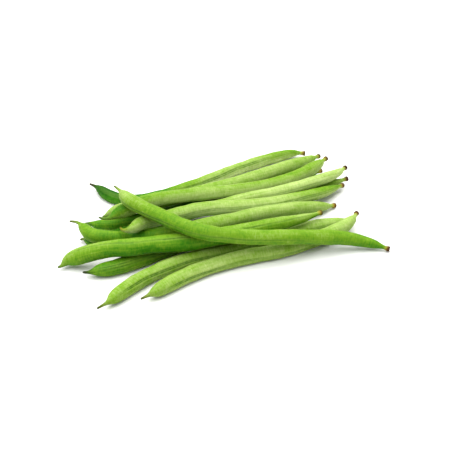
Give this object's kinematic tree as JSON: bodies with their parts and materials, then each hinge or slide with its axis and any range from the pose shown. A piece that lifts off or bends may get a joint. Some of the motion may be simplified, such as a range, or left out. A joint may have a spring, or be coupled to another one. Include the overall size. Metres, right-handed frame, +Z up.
{
  "type": "green bean bundle",
  "caption": "Loose bunch of fresh green beans lying on a table, with curled blossom ends on one side, cut stalks on the other and one pod laid across the top.",
  "frame": {"origin": "on the table, under the middle of the bunch's bounding box", "axes": "+X along the bunch from the curled blossom ends to the cut stalks, +Y towards the back, +Z up"},
  "size_m": [0.166, 0.1424, 0.0256],
  "materials": {
    "pod_skin_deep_green": "satin, finely downy, deep fresh green",
    "pod_skin_mid_green": "satin, finely downy, mid fresh green",
    "pod_skin_pale_green": "satin, finely downy, pale yellow-green"
  },
  "bodies": {
    "root": {"pod_top": "pod_skin_deep_green", "pod_back": "pod_skin_mid_green", "pod_back_inner": "pod_skin_mid_green", "pod_upper": "pod_skin_pale_green", "pod_under_back": "pod_skin_deep_green", "pod_upper_middle": "pod_skin_pale_green", "pod_middle": "pod_skin_pale_green", "pod_lower_middle": "pod_skin_mid_green", "pod_thick": "pod_skin_deep_green", "pod_under_front": "pod_skin_deep_green", "pod_front_slim": "pod_skin_pale_green", "pod_front": "pod_skin_pale_green"}
  },
  "joints": []
}
